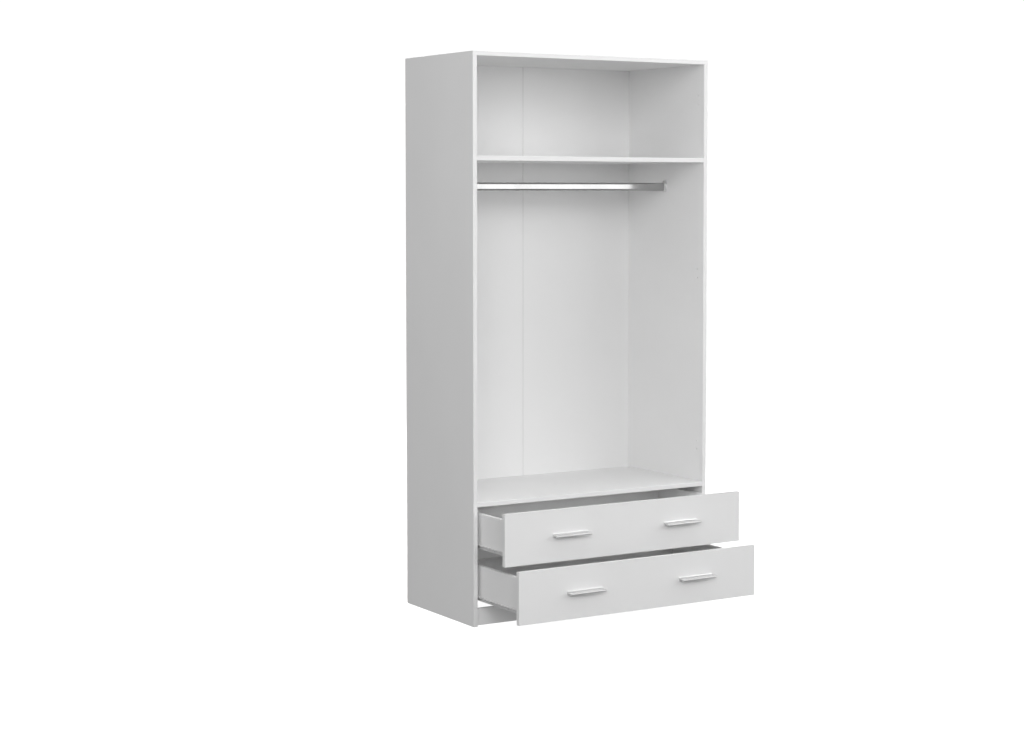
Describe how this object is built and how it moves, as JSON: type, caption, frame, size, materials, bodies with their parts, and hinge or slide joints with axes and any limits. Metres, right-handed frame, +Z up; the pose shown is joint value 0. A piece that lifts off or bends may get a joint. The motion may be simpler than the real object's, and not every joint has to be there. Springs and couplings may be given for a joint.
{
  "type": "wardrobe",
  "caption": "Tall open-fronted white board wardrobe: fixed top shelf, hanging rail and wide pull-out drawers with bar handles above a recessed plinth.",
  "frame": {"origin": "centre of the bounding box's bottom face, on the floor, with the drawers open as drawn", "axes": "+X to the right seen from the front, +Y to the back, +Z up"},
  "size_m": [1, 0.8224, 2],
  "materials": {
    "white_board": "white melamine-faced particle board, satin, edge-banded",
    "white_hardboard": "white lacquered hardboard, fine and matt",
    "white_plastic": "extruded white plastic strip",
    "chrome": "polished chrome on steel",
    "aluminium": "brushed, clear anodised",
    "grey_steel": "grey powder-coated rolled steel",
    "roller_plastic": "off-white moulded roller plastic",
    "screw_steel": "zinc-plated steel"
  },
  "bodies": {
    "carcass": {"side_left": "white_board", "side_right": "white_board", "top_panel": "white_board", "shelf": "white_board", "deck": "white_board", "plinth": "white_board", "back_left": "white_hardboard", "back_right": "white_hardboard", "back_joint_strip": "white_plastic", "hanging_rail": "chrome", "rail_cup_left": "chrome", "rail_screw_left": "screw_steel", "rail_cup_right": "chrome", "rail_screw_right": "screw_steel", "upper_carcass_runner_left": "grey_steel", "upper_carcass_runner_right": "grey_steel", "lower_carcass_runner_left": "grey_steel", "lower_carcass_runner_right": "grey_steel"},
    "upper_drawer": {"upper_drawer_front": "white_board", "upper_drawer_side_left": "white_board", "upper_drawer_side_right": "white_board", "upper_drawer_back": "white_board", "upper_drawer_bottom": "white_hardboard", "upper_drawer_runner_left": "grey_steel", "upper_drawer_runner_right": "grey_steel", "upper_handle_left": "aluminium", "upper_handle_left_screw_1": "screw_steel", "upper_handle_left_screw_2": "screw_steel", "upper_handle_right": "aluminium", "upper_handle_right_screw_1": "screw_steel", "upper_handle_right_screw_2": "screw_steel"},
    "upper_front_roller_left": {"upper_front_roller_left": "roller_plastic"},
    "upper_rear_roller_left": {"upper_rear_roller_left": "roller_plastic"},
    "upper_front_roller_right": {"upper_front_roller_right": "roller_plastic"},
    "upper_rear_roller_right": {"upper_rear_roller_right": "roller_plastic"},
    "lower_drawer": {"lower_drawer_front": "white_board", "lower_drawer_side_left": "white_board", "lower_drawer_side_right": "white_board", "lower_drawer_back": "white_board", "lower_drawer_bottom": "white_hardboard", "lower_drawer_runner_left": "grey_steel", "lower_drawer_runner_right": "grey_steel", "lower_handle_left": "aluminium", "lower_handle_left_screw_1": "screw_steel", "lower_handle_left_screw_2": "screw_steel", "lower_handle_right": "aluminium", "lower_handle_right_screw_1": "screw_steel", "lower_handle_right_screw_2": "screw_steel"},
    "lower_front_roller_left": {"lower_front_roller_left": "roller_plastic"},
    "lower_rear_roller_left": {"lower_rear_roller_left": "roller_plastic"},
    "lower_front_roller_right": {"lower_front_roller_right": "roller_plastic"},
    "lower_rear_roller_right": {"lower_rear_roller_right": "roller_plastic"}
  },
  "joints": [
    {"name": "upper_drawer_slide", "type": "slide", "parent": "carcass", "child": "upper_drawer", "axis": [0, -1, 0], "range_m": [-0.1915, 0.1485]},
    {"name": "upper_front_roller_left_spin", "type": "hinge", "parent": "carcass", "child": "upper_front_roller_left", "pos_m": [-0.4785, -0.05275, 0.278], "axis": [1, 0, 0], "continuous": true},
    {"name": "upper_rear_roller_left_spin", "type": "hinge", "parent": "upper_drawer", "child": "upper_rear_roller_left", "pos_m": [-0.477, 0.16375, 0.277], "axis": [1, 0, 0], "continuous": true},
    {"name": "upper_front_roller_right_spin", "type": "hinge", "parent": "carcass", "child": "upper_front_roller_right", "pos_m": [0.4785, -0.05275, 0.278], "axis": [1, 0, 0], "continuous": true},
    {"name": "upper_rear_roller_right_spin", "type": "hinge", "parent": "upper_drawer", "child": "upper_rear_roller_right", "pos_m": [0.477, 0.16375, 0.277], "axis": [1, 0, 0], "continuous": true},
    {"name": "lower_drawer_slide", "type": "slide", "parent": "carcass", "child": "lower_drawer", "axis": [0, -1, 0], "range_m": [-0.2835, 0.0565]},
    {"name": "lower_front_roller_left_spin", "type": "hinge", "parent": "carcass", "child": "lower_front_roller_left", "pos_m": [-0.4785, -0.05275, 0.0945], "axis": [1, 0, 0], "continuous": true},
    {"name": "lower_rear_roller_left_spin", "type": "hinge", "parent": "lower_drawer", "child": "lower_rear_roller_left", "pos_m": [-0.477, 0.07175, 0.0935], "axis": [1, 0, 0], "continuous": true},
    {"name": "lower_front_roller_right_spin", "type": "hinge", "parent": "carcass", "child": "lower_front_roller_right", "pos_m": [0.4785, -0.05275, 0.0945], "axis": [1, 0, 0], "continuous": true},
    {"name": "lower_rear_roller_right_spin", "type": "hinge", "parent": "lower_drawer", "child": "lower_rear_roller_right", "pos_m": [0.477, 0.07175, 0.0935], "axis": [1, 0, 0], "continuous": true}
  ],
  "couplings": [
    {"joint": "upper_front_roller_left_spin", "follows": "upper_drawer_slide", "rad_per_m": 133.33},
    {"joint": "upper_rear_roller_left_spin", "follows": "upper_drawer_slide", "rad_per_m": 133.33},
    {"joint": "upper_front_roller_right_spin", "follows": "upper_drawer_slide", "rad_per_m": 133.33},
    {"joint": "upper_rear_roller_right_spin", "follows": "upper_drawer_slide", "rad_per_m": 133.33},
    {"joint": "lower_front_roller_left_spin", "follows": "lower_drawer_slide", "rad_per_m": 133.33},
    {"joint": "lower_rear_roller_left_spin", "follows": "lower_drawer_slide", "rad_per_m": 133.33},
    {"joint": "lower_front_roller_right_spin", "follows": "lower_drawer_slide", "rad_per_m": 133.33},
    {"joint": "lower_rear_roller_right_spin", "follows": "lower_drawer_slide", "rad_per_m": 133.33}
  ]
}
